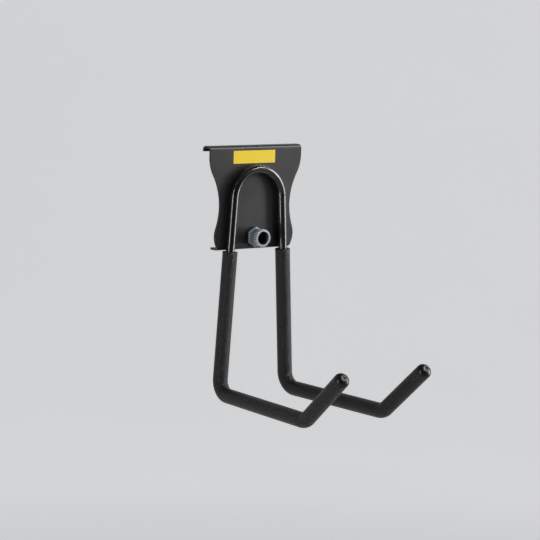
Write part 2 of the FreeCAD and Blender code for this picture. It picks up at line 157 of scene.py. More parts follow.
def setSockets(tree, node, sockets):  # each gets a value, or a link from another node's output
    for name, value in sockets.items():
        if isinstance(value, bpy.types.NodeSocket):
            tree.links.new(value, node.inputs[name])
        else:
            node.inputs[name].default_value = value


def addNode(tree, kind, sockets=None, **settings):
    node = tree.nodes.new(kind)
    for name, value in settings.items():
        setattr(node, name, value)
    setSockets(tree, node, sockets or {})
    return node


def startMaterial(name):
    material = bpy.data.materials.new(name)
    material.use_nodes = True
    tree = material.node_tree
    tree.nodes.clear()
    shader = addNode(tree, "ShaderNodeBsdfPrincipled")
    output = addNode(tree, "ShaderNodeOutputMaterial", {"Surface": shader.outputs["BSDF"]})
    output.is_active_output = True
    place = addNode(tree, "ShaderNodeTexCoord").outputs["Object"]
    return material, tree, shader, place


mixA, mixB = 6, 7  # a colour Mix node's two colours
mixResult = 2


# Materials

def makePowderCoat(name, look):
    # polyester powder coat, sprayed and baked on steel: dark, with a faint orange peel
    material, tree, shader, place = startMaterial(name)
    clouds = addNode(tree, "ShaderNodeTexNoise", {
        "Vector": place, "Scale": 1 / look["cloudSize"], "Detail": 3.0,
    })
    tint = addNode(tree, "ShaderNodeMix", {
        0: clouds.outputs["Fac"], mixA: linear(look["colour"]), mixB: linear(look["cloudColour"]),
    }, data_type="RGBA")
    gloss = addNode(tree, "ShaderNodeMapRange", {
        "Value": clouds.outputs["Fac"], "From Min": 0.35, "From Max": 0.65,
        "To Min": look["roughness"] - look["roughnessSpread"],
        "To Max": look["roughness"] + look["roughnessSpread"],
    })
    peel = addNode(tree, "ShaderNodeTexNoise", {
        "Vector": place, "Scale": 1 / look["peelSize"], "Detail": 2.0,
    })
    bump = addNode(tree, "ShaderNodeBump", {
        "Height": peel.outputs["Fac"], "Distance": look["peelDepth"], "Strength": 1.0,
    })
    setSockets(tree, shader, {
        "Base Color": tint.outputs[mixResult], "Roughness": gloss.outputs["Result"],
        "Normal": bump.outputs["Normal"], "IOR": 1.5, "Specular IOR Level": look["specular"],
    })
    return material


def makeGrainedVinyl(name, look):
    # foamed PVC sleeve, extruded: matte black with a leathery grain that breaks the light into specks, and
    # smoother where its closed end was welded
    material, tree, shader, place = startMaterial(name)
    pits = addNode(tree, "ShaderNodeTexVoronoi", {"Vector": place, "Scale": 1 / look["grainSize"]})
    fine = addNode(tree, "ShaderNodeTexNoise", {
        "Vector": place, "Scale": 2 / look["grainSize"], "Detail": 4.0,
    })
    grain = addNode(tree, "ShaderNodeMath", {
        0: pits.outputs["Distance"], 1: fine.outputs["Fac"],
    }, operation="ADD")
    clouds = addNode(tree, "ShaderNodeTexNoise", {
        "Vector": place, "Scale": 1 / look["cloudSize"], "Detail": 3.0,
    })
    patches = addNode(tree, "ShaderNodeMath", {
        0: clouds.outputs["Fac"], 1: pits.outputs["Distance"],
    }, operation="MULTIPLY")
    tint = addNode(tree, "ShaderNodeMix", {
        0: patches.outputs["Value"], mixA: linear(look["colour"]), mixB: linear(look["speckColour"]),
    }, data_type="RGBA")
    welded = addNode(tree, "ShaderNodeAttribute", attribute_name="welded")
    grained = addNode(tree, "ShaderNodeMapRange", {
        "Value": fine.outputs["Fac"], "From Min": 0.3, "From Max": 0.7,
        "To Min": look["roughness"] - look["roughnessSpread"],
        "To Max": look["roughness"] + look["roughnessSpread"],
    })
    gloss = addNode(tree, "ShaderNodeMapRange", {
        "Value": welded.outputs["Fac"],
        "To Min": grained.outputs["Result"], "To Max": look["weldedRoughness"],
    })
    relief = addNode(tree, "ShaderNodeMapRange", {
        "Value": welded.outputs["Fac"], "To Min": 1.0, "To Max": look["weldedRelief"],
    })
    bump = addNode(tree, "ShaderNodeBump", {
        "Height": grain.outputs["Value"],
        "Distance": look["grainDepth"], "Strength": relief.outputs["Result"],
    })
    setSockets(tree, shader, {
        "Base Color": tint.outputs[mixResult], "Roughness": gloss.outputs["Result"],
        "Normal": bump.outputs["Normal"], "IOR": 1.5, "Specular IOR Level": look["specular"],
    })
    return material


def makeMouldedNylon(name, look):
    # glass-filled nylon, injection moulded: blue-grey satin with a pale bloom, painted shade in the hollows
    # and a painted highlight on each edge, with a fine spark-eroded texture
    material, tree, shader, place = startMaterial(name)
    bloom = addNode(tree, "ShaderNodeTexNoise", {
        "Vector": place, "Scale": 1 / look["bloomSize"], "Detail": 4.0,
    })
    body = addNode(tree, "ShaderNodeMix", {
        0: bloom.outputs["Fac"], mixA: linear(look["colour"]), mixB: linear(look["bloomColour"]),
    }, data_type="RGBA")
    paintedHighlight = addNode(tree, "ShaderNodeAttribute", attribute_name="paintedHighlight")
    hollow = addNode(tree, "ShaderNodeAttribute", attribute_name="hollow")
    # a painted highlight on edges, crests and the front face, then painted shade in the hollows
    paintedHighlightTone = addNode(tree, "ShaderNodeMix", {
        0: paintedHighlight.outputs["Fac"], mixA: body.outputs[mixResult], mixB: linear(look["paintedHighlightColour"]),
    }, data_type="RGBA")
    tint = addNode(tree, "ShaderNodeMix", {
        0: hollow.outputs["Fac"], mixA: paintedHighlightTone.outputs[mixResult], mixB: linear(look["hollowColour"]),
    }, data_type="RGBA")
    texture = addNode(tree, "ShaderNodeTexNoise", {
        "Vector": place, "Scale": 1 / look["textureSize"], "Detail": 3.0,
    })
    gloss = addNode(tree, "ShaderNodeMapRange", {
        "Value": bloom.outputs["Fac"], "From Min": 0.3, "From Max": 0.7,
        "To Min": look["roughness"] - look["roughnessSpread"],
        "To Max": look["roughness"] + look["roughnessSpread"],
    })
    bump = addNode(tree, "ShaderNodeBump", {
        "Height": texture.outputs["Fac"], "Distance": look["textureDepth"], "Strength": 1.0,
    })
    setSockets(tree, shader, {
        "Base Color": tint.outputs[mixResult], "Roughness": gloss.outputs["Result"],
        "Normal": bump.outputs["Normal"], "IOR": 1.53,
    })
    return material


def makeLabelVinyl(name, look):
    # calendered vinyl sticker with a flat yellow screen print: even colour, a faint ripple from its glue
    material, tree, shader, place = startMaterial(name)
    ink = addNode(tree, "ShaderNodeTexNoise", {
        "Vector": place, "Scale": 1 / look["inkSize"], "Detail": 5.0,
    })
    tint = addNode(tree, "ShaderNodeMix", {
        0: ink.outputs["Fac"], mixA: linear(look["colour"]), mixB: linear(look["inkColour"]),
    }, data_type="RGBA")
    ripple = addNode(tree, "ShaderNodeTexNoise", {
        "Vector": place, "Scale": 1 / look["rippleSize"], "Detail": 1.0,
    })
    bump = addNode(tree, "ShaderNodeBump", {
        "Height": ripple.outputs["Fac"], "Distance": look["rippleDepth"], "Strength": 1.0,
    })
    setSockets(tree, shader, {
        "Base Color": tint.outputs[mixResult], "Roughness": look["roughness"],
        "Normal": bump.outputs["Normal"], "IOR": 1.5,
    })
    return material


# Bracket: a steel sheet folded back at the top and the bottom, with a lip turned down at the rear

bracketShape = {
    "sheet": 2 * mm,
    "foldInside": 1.5 * mm,
    "lipHeight": 5 * mm,
    "shoulderRadius": 35 * mm,
    "shoulderDrop": 8.9 * mm,
    "waistInset": 11.7 * mm,
    "waistDrop": 7.3 * mm,
    "hipInset": 7 * mm,
    "hipRise": 12.7 * mm,
    "topCorner": 2.5 * mm,
    "footCorner": 3 * mm,
    "gridStep": 2 * mm,
    "foldSteps": 8,
    "edgeRound": 0.25 * mm,
    "holeRadius": 4.06 * mm,
    "holeSquare": 7 * mm,
}
bracketLook = {
    "colour": "#1a1919",
    "cloudColour": "#201f1f",
    "cloudSize": 30 * mm,
    "roughness": 0.36,
    "roughnessSpread": 0.03,
    "specular": 0.3,
    "peelSize": 1.6 * mm,
    "peelDepth": 0.02 * mm,
}
bracketLow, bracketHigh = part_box("bracket")
halfHeight = bracketHigh[2]
halfPlate = bracketHigh[0]
knobLow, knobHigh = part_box("lock_knob")
knobZ = (knobLow[2] + knobHigh[2]) / 2


def circleEdge(centreX, centreZ, radius, z, side):
    return centreX + side * math.sqrt(max(radius ** 2 - (z - centreZ) ** 2, 0))


def halfWidthAt(z):  # the plate's outline, by arcs: top corner, shoulder, hollow waist, hip and foot corner
    s = bracketShape
    shoulderZ = halfHeight - s["shoulderDrop"]
    waistZ = -s["waistDrop"]
    hipZ = -halfHeight + s["hipRise"]
    hipStep = s["waistInset"] - s["hipInset"]
    upperReach = ((shoulderZ - waistZ) ** 2 + s["waistInset"] ** 2) / (2 * s["waistInset"])
    lowerReach = ((waistZ - hipZ) ** 2 + hipStep ** 2) / (2 * hipStep)
    waistRadius = upperReach - s["shoulderRadius"]
    hipRadius = lowerReach - waistRadius
    shoulderX = halfPlate - s["shoulderRadius"]
    waistX = halfPlate - s["waistInset"] + waistRadius
    hipX = halfPlate - s["hipInset"] - hipRadius
    footZ = -halfHeight + s["footCorner"]
    footX = hipX + math.sqrt((hipRadius - s["footCorner"]) ** 2 - (footZ - hipZ) ** 2)
    if z > halfHeight - s["topCorner"]:
        return circleEdge(halfPlate - s["topCorner"], halfHeight - s["topCorner"], s["topCorner"], z, 1)
    if z > shoulderZ:
        return halfPlate
    if z > waistZ + (shoulderZ - waistZ) * waistRadius / upperReach:
        return circleEdge(shoulderX, shoulderZ, s["shoulderRadius"], z, 1)
    if z > waistZ + (hipZ - waistZ) * waistRadius / lowerReach:
        return circleEdge(waistX, waistZ, waistRadius, z, -1)
    if z > hipZ + (footZ - hipZ) * hipRadius / (hipRadius - s["footCorner"]):
        return circleEdge(hipX, hipZ, hipRadius, z, 1)
    return circleEdge(footX, footZ, s["footCorner"], z, 1)


def makeBracket():
    s = bracketShape
    bm = bmesh.new()
    mid = s["sheet"] / 2
    fold = s["foldInside"] + mid
    rearY = bracketHigh[1] - mid
    roofZ = halfHeight - mid
    lipZ = halfHeight - s["lipHeight"]
    ends = [bm.verts.new((side * halfPlate, rearY, lipZ)) for side in (-1, 1)]
    row = [bm.edges.new(ends)]
    cuts = round(2 * halfPlate / s["gridStep"]) - 1
    bmesh.ops.subdivide_edges(bm, edges=row, cuts=cuts)
    row = edgesAmong(bm.verts)

    def foldBack(row, centre):
        return spinEdges(bm, row, centre, Vector((1, 0, 0)), quarter, s["foldSteps"])

    row = pushStraight(bm, row, Vector((0, 0, roofZ - fold - lipZ)), s["gridStep"])
    row = foldBack(row, (0, rearY - fold, roofZ - fold))
    row = pushStraight(bm, row, Vector((0, 2 * fold - rearY - mid, 0)), s["gridStep"])
    row = foldBack(row, (0, fold - mid, roofZ - fold))
    row = pushStraight(bm, row, Vector((0, 0, 2 * (fold - roofZ))), s["gridStep"])
    row = foldBack(row, (0, fold - mid, fold - roofZ))
    pushStraight(bm, row, Vector((0, bracketHigh[1] - fold + mid, 0)), s["gridStep"])

    for vert in bm.verts:
        vert.co.x *= halfWidthAt(vert.co.z) / halfPlate
    cutScrewHole(bm)
    piece = makePiece("bracketSheet", bm, makePowderCoat("blackPowderCoatSheet", bracketLook), "hook")
    wall = piece.modifiers.new("sheet", "SOLIDIFY")
    wall.thickness = s["sheet"]
    wall.offset = 0
    rim = piece.modifiers.new("rim", "BEVEL")
    rim.width = s["edgeRound"]
    rim.segments = 2
    rim.limit_method = "ANGLE"
    rim.angle_limit = math.radians(50)
    rim.harden_normals = True
    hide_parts("bracket")


def cutScrewHole(bm):  # a square of the plate comes out, and a ring of as many points is bridged into it
    s = bracketShape
    plateY = -s["sheet"] / 2
    reach = s["holeSquare"]
    square = []
    for face in bm.faces:
        middle = face.calc_center_median()
        onPlate = abs(middle.y - plateY) < slack
        if onPlate and abs(middle.x) < reach and abs(middle.z - knobZ) < reach:
            square.append(face)
    boundary = [edge for edge in dict.fromkeys(edge for face in square for edge in face.edges)
                if sum(face in square for face in edge.link_faces) == 1]
    bmesh.ops.delete(bm, geom=square, context="FACES")
    ring = addRing(bm, Vector((0, plateY, knobZ)), Vector((0, -1, 0)), s["holeRadius"], len(boundary))
    bmesh.ops.bridge_loops(bm, edges=boundary + ring)


# Hook bar: one round steel bar, bent to an arch, two legs, two arms and two raised tips

barShape = {
    "radius": 4 * mm,
    "archRadius": 26.3 * mm,
    "archDrop": 17 * mm,
    "legSplay": math.radians(3.5),
    "legDrop": 173.5 * mm,
    "armSplay": math.radians(2.4),
    "armLength": 133 * mm,
    "tipLength": 65.5 * mm,
    "tipRise": math.radians(41.5),
    "bendRadius": 14 * mm,
    "endChamfer": 0.8 * mm,
    "ringPoints": 40,
    "bendSteps": 18,
    "straightStep": 20 * mm,
}
barLook = {
    "colour": "#0e0e0e",
    "cloudColour": "#141414",
    "cloudSize": 24 * mm,
    "roughness": 0.22,
    "roughnessSpread": 0.02,
    "specular": 0.5,
    "peelSize": 2.4 * mm,
    "peelDepth": 0.006 * mm,
}


def barCorners(side):  # of one half of the bar: where the legs would meet, lower corner, front corner, end
    s = barShape
    barY = -bracketShape["sheet"] - s["radius"]
    archZ = halfHeight - s["archDrop"] - s["radius"] - s["archRadius"]
    peak = s["archRadius"] / math.sin(s["legSplay"])  # from the arch's centre up to where the legs would meet
    lowerX = (peak + s["legDrop"]) * math.tan(s["legSplay"])
    lower = Vector((side * lowerX, barY, archZ - s["legDrop"]))
    ahead = Vector((side * math.sin(s["armSplay"]), -math.cos(s["armSplay"]), 0))
    front = lower + ahead * s["armLength"]
    upward = ahead * math.cos(s["tipRise"]) + Vector((0, 0, math.sin(s["tipRise"])))
    legsMeet = Vector((0, barY, archZ + peak))
    return legsMeet, lower, front, front + upward * s["tipLength"]


def makeBar():
    s = barShape
    legsMeet, lowerLeft, frontLeft, endLeft = barCorners(-1)
    _, lowerRight, frontRight, endRight = barCorners(1)
    bm = bmesh.new()
    corners = [endLeft, frontLeft, lowerLeft, legsMeet, lowerRight, frontRight, endRight]
    bends = [s["bendRadius"], s["bendRadius"], s["archRadius"], s["bendRadius"], s["bendRadius"]]
    cutEnds = runTube(bm, corners, bends, s["radius"], s["ringPoints"], s["bendSteps"], s["straightStep"])
    for edges in cutEnds:
        closeRing(bm, edges)
    bmesh.ops.bevel(
        bm, geom=cutEnds[0] + cutEnds[1], offset=s["endChamfer"], offset_type="OFFSET",
        affect="EDGES", segments=1, profile=0.5, material=-1,
    )
    piece = makePiece("hookBar", bm, makePowderCoat("blackPowderCoatBar", barLook), "hook")
    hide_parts("hook_rod")


# Sleeves: soft grained tubes pushed over the bar, closed at the front, creased inside the bends

sleeveShape = {
    "radius": 6.7 * mm,
    "bore": 4.05 * mm,
    "boreChamfer": 0.3 * mm,
    "boreGap": 0.05 * mm,
    "mouthDrop": 0.5 * mm,
    "mouthRound": 0.6 * mm,
    "flare": 0.2 * mm,
    "flareLength": 4 * mm,
    "endWall": 4 * mm,
    "endRound": 4.6 * mm,
    "dimpleRadius": 1.5 * mm,
    "dimpleDepth": 0.7 * mm,
    "dimpleSteps": 4,
    "creases": 4,
    "creaseDepth": 0.35 * mm,
    "ringPoints": 64,
    "bendSteps": 44,
    "straightStep": 4 * mm,
    "roundSteps": 8,
}
sleeveLook = {
    "colour": "#080808",
    "speckColour": "#222121",
    "cloudSize": 14 * mm,
    "roughness": 0.4,
    "roughnessSpread": 0.1,
    "specular": 0.22,  # the pores swallow about half of the gloss of plain PVC
    "grainSize": 1.3 * mm,  # the real grain is about 0.5 mm, and is drawn coarser to show
    "grainDepth": 0.45 * mm,
    "weldedRoughness": 0.3,
    "weldedRelief": 0.12,
}


def creaseBend(bm, corner, before, after):  # shallow folds on the inner side of one bend
    s = sleeveShape
    bend = barShape["bendRadius"]
    incoming = (corner - before).normalized()
    outgoing = (after - corner).normalized()
    turn = incoming.angle(outgoing)
    axis = incoming.cross(outgoing).normalized()
    setback = bend * math.tan(turn / 2)
    centre = corner - incoming * setback + axis.cross(incoming) * bend
    for vert in bm.verts:
        spoke = vert.co - centre
        spoke -= axis * spoke.dot(axis)
        angle = math.atan2(spoke.dot(incoming), spoke.dot(-axis.cross(incoming)))
        share = angle / turn
        near = (vert.co - centre).length < bend + 2 * s["radius"]
        inner = (bend - spoke.length) / s["radius"]
        if near and 0 < share < 1 and inner > 0:
            wave = math.cos(2 * math.pi * s["creases"] * share) * math.sin(math.pi * share)
            vert.co += spoke.normalized() * s["creaseDepth"] * wave * inner ** 2


def makeSleeve(name, node, side, material):
    s = sleeveShape
    legsMeet, lower, front, end = barCorners(side)
    upLeg = (legsMeet - lower).normalized()
    forward = (end - front).normalized()
    mouthZ = -halfHeight - s["mouthDrop"]
    mouth = lower + upLeg * ((mouthZ - lower.z) / upLeg.z)
    bends = [barShape["bendRadius"]] * 2
    domeStart = end + forward * (s["endWall"] - s["endRound"])

    bm = bmesh.new()
    bm.verts.layers.float.new("welded")
    corners = [mouth - upLeg * s["mouthRound"], lower, front, domeStart]
    top, tip = runTube(bm, corners, bends, s["radius"], s["ringPoints"], s["bendSteps"], s["straightStep"])
    creaseBend(bm, lower, mouth, front)
    creaseBend(bm, front, lower, end)
    flareMouth(bm, mouth, upLeg)
    closeTip(bm, tip, forward)
    rim = roundMouth(bm, top, upLeg)
    boreEnd = end + forward * s["boreGap"]
    boreTop, boreTip = runTube(
        bm, [mouth - upLeg * s["mouthRound"], lower, front, boreEnd], bends, s["bore"],
        s["ringPoints"], barShape["bendSteps"], barShape["straightStep"],
    )
    closeRing(bm, boreTip)
    bmesh.ops.bridge_loops(bm, edges=rim + boreTop)
    piece = makePiece(name, bm, material, "hook", sharpAngle=50)
    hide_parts(node)


def flareMouth(bm, mouth, upLeg):  # the cut end stands out a little
    s = sleeveShape
    for vert in bm.verts:
        below = (mouth - vert.co).dot(upLeg)
        if 0 < below < s["flareLength"]:
            onAxis = mouth - upLeg * below
            spread = (1 - below / s["flareLength"]) ** 2
            vert.co += (vert.co - onAxis).normalized() * s["flare"] * spread


def closeTip(bm, edges, forward):  # a rounded end with a shallow dimple in its middle
    s = sleeveShape
    tube = set(bm.verts)
    edges = roundEnd(bm, edges, forward, s["radius"], s["endRound"], s["roundSteps"])
    edges = pushEdges(bm, edges, Vector(), s["dimpleRadius"] / (s["radius"] - s["endRound"]))
    sink = forward * -s["dimpleDepth"] / (s["dimpleSteps"] - 1)
    width = 1.0
    for step in range(1, s["dimpleSteps"]):
        nextWidth = math.sqrt(1 - (step / s["dimpleSteps"]) ** 2)
        edges = pushEdges(bm, edges, sink, nextWidth / width)
        width = nextWidth
    closeRing(bm, edges)
    welded = bm.verts.layers.float["welded"]
    for vert in bm.verts:
        if vert not in tube:
            vert[welded] = 1.0


def roundMouth(bm, edges, upLeg):  # over the rim and in to the bar
    s = sleeveShape
    outer = s["radius"] + s["flare"]
    edges = roundEnd(bm, edges, upLeg, outer, s["mouthRound"], s["roundSteps"] // 2)
    return pushEdges(bm, edges, Vector(), (s["bore"] + s["boreChamfer"]) / (outer - s["mouthRound"]))


# Lock screw: hexagonal flange, ribbed barrel with an open socket, threaded shank

knobShape = {
    "hexFlats": 16 * mm,
    "hexThickness": 3.2 * mm,
    "hexCorner": 0.3 * mm,
    "hexChamfer": 0.5 * mm,
    "neckRadius": 7.4 * mm,
    "footRound": 0.5 * mm,
    "footGap": 0.05 * mm,
    "ribRadius": 7.9 * mm,
    "ribLength": 5 * mm,
    "ribRun": 0.7 * mm,
    "ribCount": 24,
    "pointsPerRib": 8,
    "ribDepth": 0.55 * mm,
    "barrelLength": 10.6 * mm,
    "rimChamfer": 0.4 * mm,
    # widths of the bands of painted highlight at the outer and inner edges of the front face
    "rimHighlightWidth": 0.3 * mm,
    "socketHighlightWidth": 0.45 * mm,
    "socketChamfer": 0.2 * mm,
    "socketShade": 1.2 * mm,
    "socketRadius": 6 * mm,
    "socketDepth": 10 * mm,
    "socketTaper": 0.2 * mm,
    "threadRadius": 3.95 * mm,
    "threadDepth": 0.7 * mm,
    "threadPitch": 1.25 * mm,
    "threadSteps": 48,
}
knobLook = {
    "colour": "#475158",
    "bloomColour": "#5c666d",
    # the next colour is a painted highlight for edges, rib crests and the front face
    "paintedHighlightColour": "#a9b1b5",
    # this colour is painted shade for the rib hollows, the foot's corner and the socket
    "hollowColour": "#15191b",
    "bloomSize": 3 * mm,
    "roughness": 0.4,
    "roughnessSpread": 0.05,
    "textureSize": 0.6 * mm,
    "textureDepth": 0.01 * mm,
}


def addFlange(bm):
    s = knobShape
    start = bmesh.ops.create_circle(bm, cap_ends=True, segments=6, radius=s["hexFlats"] / math.sqrt(3))
    back = list(dict.fromkeys(face for vert in start["verts"] for face in vert.link_faces))
    grown = bmesh.ops.extrude_face_region(bm, geom=back)["geom"]
    front = [item for item in grown if isinstance(item, bmesh.types.BMVert)]
    bmesh.ops.translate(bm, vec=(0, 0, s["hexThickness"]), verts=front)
    upright = [edge for edge in bm.edges if abs(edge.verts[0].co.z - edge.verts[1].co.z) > mm]
    bmesh.ops.bevel(
        bm, geom=upright, offset=s["hexCorner"], offset_type="OFFSET",
        affect="EDGES", segments=3, profile=0.5, material=-1,
    )
    rim = [edge for edge in bm.edges if all(vert.co.z > s["hexThickness"] - slack for vert in edge.verts)]
    bmesh.ops.bevel(
        bm, geom=rim, offset=s["hexChamfer"], offset_type="OFFSET",
        affect="EDGES", segments=2, profile=0.5, material=-1,
    )
    # the chamfer round the hexagon's front face gets a painted highlight
    paintedHighlight = bm.verts.layers.float["paintedHighlight"]
    for vert in bm.verts:
        if s["hexThickness"] - 0.9 * s["hexChamfer"] < vert.co.z < s["hexThickness"] - slack:
            vert[paintedHighlight] = 1.0


def openEnd(bm, level):  # takes out the flat face at this height and gives the edges round it
    face = next(face for face in bm.faces if all(abs(vert.co.z - level) < slack for vert in face.verts))
    rim = list(face.edges)
    bmesh.ops.delete(bm, geom=[face], context="FACES")
    return rim


def resizeRing(bm, edges, radiusAt, paintedHighlightTone):  # gives each point of a ring about Z its own radius, its painted shade and its painted highlight
    paintedHighlight = bm.verts.layers.float["paintedHighlight"]
    hollow = bm.verts.layers.float["hollow"]
    for vert in vertsOf(edges):
        turn = math.atan2(vert.co.y, vert.co.x)
        radius, depth = radiusAt(turn)
        vert.co.x = radius * math.cos(turn)
        vert.co.y = radius * math.sin(turn)
        vert[hollow] = depth
        vert[paintedHighlight] = paintedHighlightTone * (1 - depth)


def addBarrel(bm):
    s = knobShape
    points = s["ribCount"] * s["pointsPerRib"]
    front = s["hexThickness"] + s["barrelLength"]
    ribStart = front - s["ribLength"]

    def ribbed(turn):  # round hollows between flat-topped ribs; the hollows get painted shade
        phase = (turn * s["ribCount"] / (2 * math.pi)) % 1
        depth = max(0.0, math.cos(2 * math.pi * (phase - 0.5))) ** 0.7
        return s["ribRadius"] - s["ribDepth"] * depth, depth

    def plain(radius, depth=0.0):
        return lambda turn: (radius, depth)

    def filleted(share, depth):  # the foot's fillet thins out at the middle of each flat, and its corner gets painted shade
        def radiusAt(turn):
            fromFlat = (turn + math.radians(30)) % math.radians(60) - math.radians(30)
            reach = (s["hexFlats"] / 2 - s["hexChamfer"]) / math.cos(fromFlat) - s["footGap"]
            return s["neckRadius"] + share * min(s["footRound"], reach - s["neckRadius"]), depth
        return radiusAt

    edges = addRing(bm, Vector((0, 0, s["hexThickness"])), Vector((0, 0, 1)), s["neckRadius"], points)
    resizeRing(bm, edges, filleted(1, 0.4), 0.0)
    bmesh.ops.triangle_fill(bm, edges=openEnd(bm, s["hexThickness"]) + edges, use_beauty=True)
    levels = [  # height above the plate's side, radius and painted shade round the ring, painted highlight
        # the corner at the foot gets painted shade
        (s["hexThickness"] + 0.3 * s["footRound"], filleted(0.35, 0.6), 0.0),
        (s["hexThickness"] + s["footRound"], plain(s["neckRadius"]), 0.0),
        (ribStart, plain(s["neckRadius"]), 0.0),
        # rib crests, the outer rim and the socket's edge get a painted highlight, the flat front face a
        # fainter one
        (ribStart + s["ribRun"], ribbed, 0.7),
        (front - s["rimChamfer"], ribbed, 0.9),
        (front, plain(s["neckRadius"]), 1.0),
        (front, plain(s["neckRadius"] - s["rimHighlightWidth"]), 0.35),
        (front, plain(s["socketRadius"] + s["socketHighlightWidth"]), 0.35),
        (front, plain(s["socketRadius"] + s["socketChamfer"]), 0.9),
        (front - s["socketChamfer"], plain(s["socketRadius"]), 0.3),
        # deeper in, the socket's wall and floor get painted shade, darkest at the bottom
        (front - s["socketShade"], plain(s["socketRadius"], 0.7), 0.0),
        (front - s["socketDepth"], plain(s["socketRadius"] - s["socketTaper"], 1.0), 0.0),
    ]
    height = s["hexThickness"]
    for level, radiusAt, paintedHighlightTone in levels:
        edges = pushEdges(bm, edges, Vector((0, 0, level - height)))
        resizeRing(bm, edges, radiusAt, paintedHighlightTone)
        height = level
    closeRing(bm, edges)


def addThread(bm, length):  # one pitch of the thread's outline for each turn, spun while it climbs
    s = knobShape
    root = s["threadRadius"] - s["threadDepth"]
    outline = ((0, root), (0.12, root), (0.44, s["threadRadius"]), (0.56, s["threadRadius"]), (0.88, root))
    turns = math.ceil(length / s["threadPitch"]) + 2
    start = -(turns - 0.5) * s["threadPitch"]  # both ends of the helix lie past the two cuts
    line = []
    for index in range(turns):
        base = start + index * s["threadPitch"]
        for share, radius in outline:
            line.append(bm.verts.new((radius, 0, base + share * s["threadPitch"])))
    line.append(bm.verts.new((root, 0, start + turns * s["threadPitch"])))
    edges = [bm.edges.new(pair) for pair in zip(line, line[1:])]
    before = set(bm.verts) - set(line)
    bmesh.ops.spin(
        bm, geom=line + edges, cent=(0, 0, 0), axis=(0, 0, 1),
        dvec=(0, 0, s["threadPitch"] / s["threadSteps"]),
        angle=math.radians(360), steps=s["threadSteps"], use_duplicate=False, use_merge=False,
    )
    screw = [vert for vert in bm.verts if vert not in before]
    bmesh.ops.remove_doubles(bm, verts=screw, dist=slack)
    for level, upper in ((-length, False), (0, True)):
        kept = [vert for vert in bm.verts if vert not in before]
        faces = list(dict.fromkeys(face for vert in kept for face in vert.link_faces))
        geometry = kept + list(dict.fromkeys(edge for face in faces for edge in face.edges)) + faces
        cut = bmesh.ops.bisect_plane(
            bm, geom=geometry, dist=weldDistance / 2, plane_co=(0, 0, level), plane_no=(0, 0, 1),
            clear_outer=upper, clear_inner=not upper,
        )["geom_cut"]
        edges = [item for item in cut if isinstance(item, bmesh.types.BMEdge)]
        if upper:
            bmesh.ops.triangle_fill(bm, edges=openEnd(bm, level) + edges, use_beauty=True)
        else:
            closeRing(bm, edges)


def makeKnob():
    s = knobShape
    bm = bmesh.new()
    bm.verts.layers.float.new("paintedHighlight")
    bm.verts.layers.float.new("hollow")
    addFlange(bm)
    addBarrel(bm)
    flangeBack = knobLow[1] + s["barrelLength"] + s["hexThickness"]
    addThread(bm, knobHigh[1] - flangeBack)
    stand = Matrix.Translation((0, flangeBack, knobZ)) @ Matrix.Rotation(quarter, 4, "X")
    bmesh.ops.transform(bm, matrix=stand, verts=bm.verts)
    piece = makePiece("lockScrew", bm, makeMouldedNylon("blueGreyNylon", knobLook), "knob", sharpAngle=40)
    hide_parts("lock_knob")


# Label: a bare yellow sticker on the plate

labelShape = {
    "left": -25.2 * mm,
    "right": 20.6 * mm,
    "bottom": 30.7 * mm,
    "top": 42.15 * mm,
    "thickness": 0.12 * mm,
    "cornerRound": 0.4 * mm,
}
labelLook = {
    "colour": "#d2b81f",
    "inkColour": "#cbaf18",
    "inkSize": 4 * mm,
    "roughness": 0.3,
    "rippleSize": 9 * mm,
    "rippleDepth": 0.03 * mm,
}


def makeLabel():
    s = labelShape
    bm = bmesh.new()
    size = Vector((s["right"] - s["left"], s["thickness"], s["top"] - s["bottom"]))
    middle = Vector((
        (s["left"] + s["right"]) / 2, bracketLow[1] - s["thickness"] / 2, (s["top"] + s["bottom"]) / 2,
    ))
    bmesh.ops.create_cube(bm, size=1, matrix=Matrix.Translation(middle) @ Matrix.Diagonal((*size, 1)))
    corners = [edge for edge in bm.edges if abs(edge.verts[0].co.y - edge.verts[1].co.y) > s["thickness"] / 2]
    bmesh.ops.bevel(
        bm, geom=corners, offset=s["cornerRound"], offset_type="OFFSET",
        affect="EDGES", segments=4, profile=0.5, material=-1,
    )
    makePiece("yellowSticker", bm, makeLabelVinyl("yellowVinyl", labelLook), "hook")


makeBracket()
makeBar()
sleeveVinyl = makeGrainedVinyl("blackFoamedVinyl", sleeveLook)
makeSleeve("sleeveLeft", "sleeve_left", -1, sleeveVinyl)
makeSleeve("sleeveRight", "sleeve_right", 1, sleeveVinyl)
makeKnob()
makeLabel()
print("pieces built")


# Studio: a pale floor that curves up all round, a black card, three lamps and the photograph's camera

studio = {
    "floorZ": -0.95,
    "floorRadius": 3.2,
    "coveRadius": 1.2,
    "wallHeight": 4.0,
    "roundPoints": 96,
    "coveSteps": 12,
    "paperColour": "#e6e7e9",
    "fibreColour": "#e8e9eb",
    "fibreSize": 1 / 3,
    "glowStart": 0.6,
    "glowEnd": 2.8,
    "floorGlow": 0.3,
    "wallGlow": 0.64,
    "worldColour": "#eef0f2",
    "worldStrength": 0.15,
    "lampAim": (0, -0.06, -0.06),
    "lampSpread": math.radians(100),  # a grid keeps each soft box's light off the paper
}


def outward(azimuth, elevation):  # from the hook, with azimuth 0 straight in front of it
    level = math.cos(elevation)
    return Vector((math.sin(azimuth) * level, -math.cos(azimuth) * level, math.sin(elevation)))


def makeStudioMesh(name, bm, material):
    thing = makeObject(name, bm, material)
    thing.visible_diffuse = False  # the world's soft light reaches the hook from all sides
    thing.visible_shadow = False
    return thing


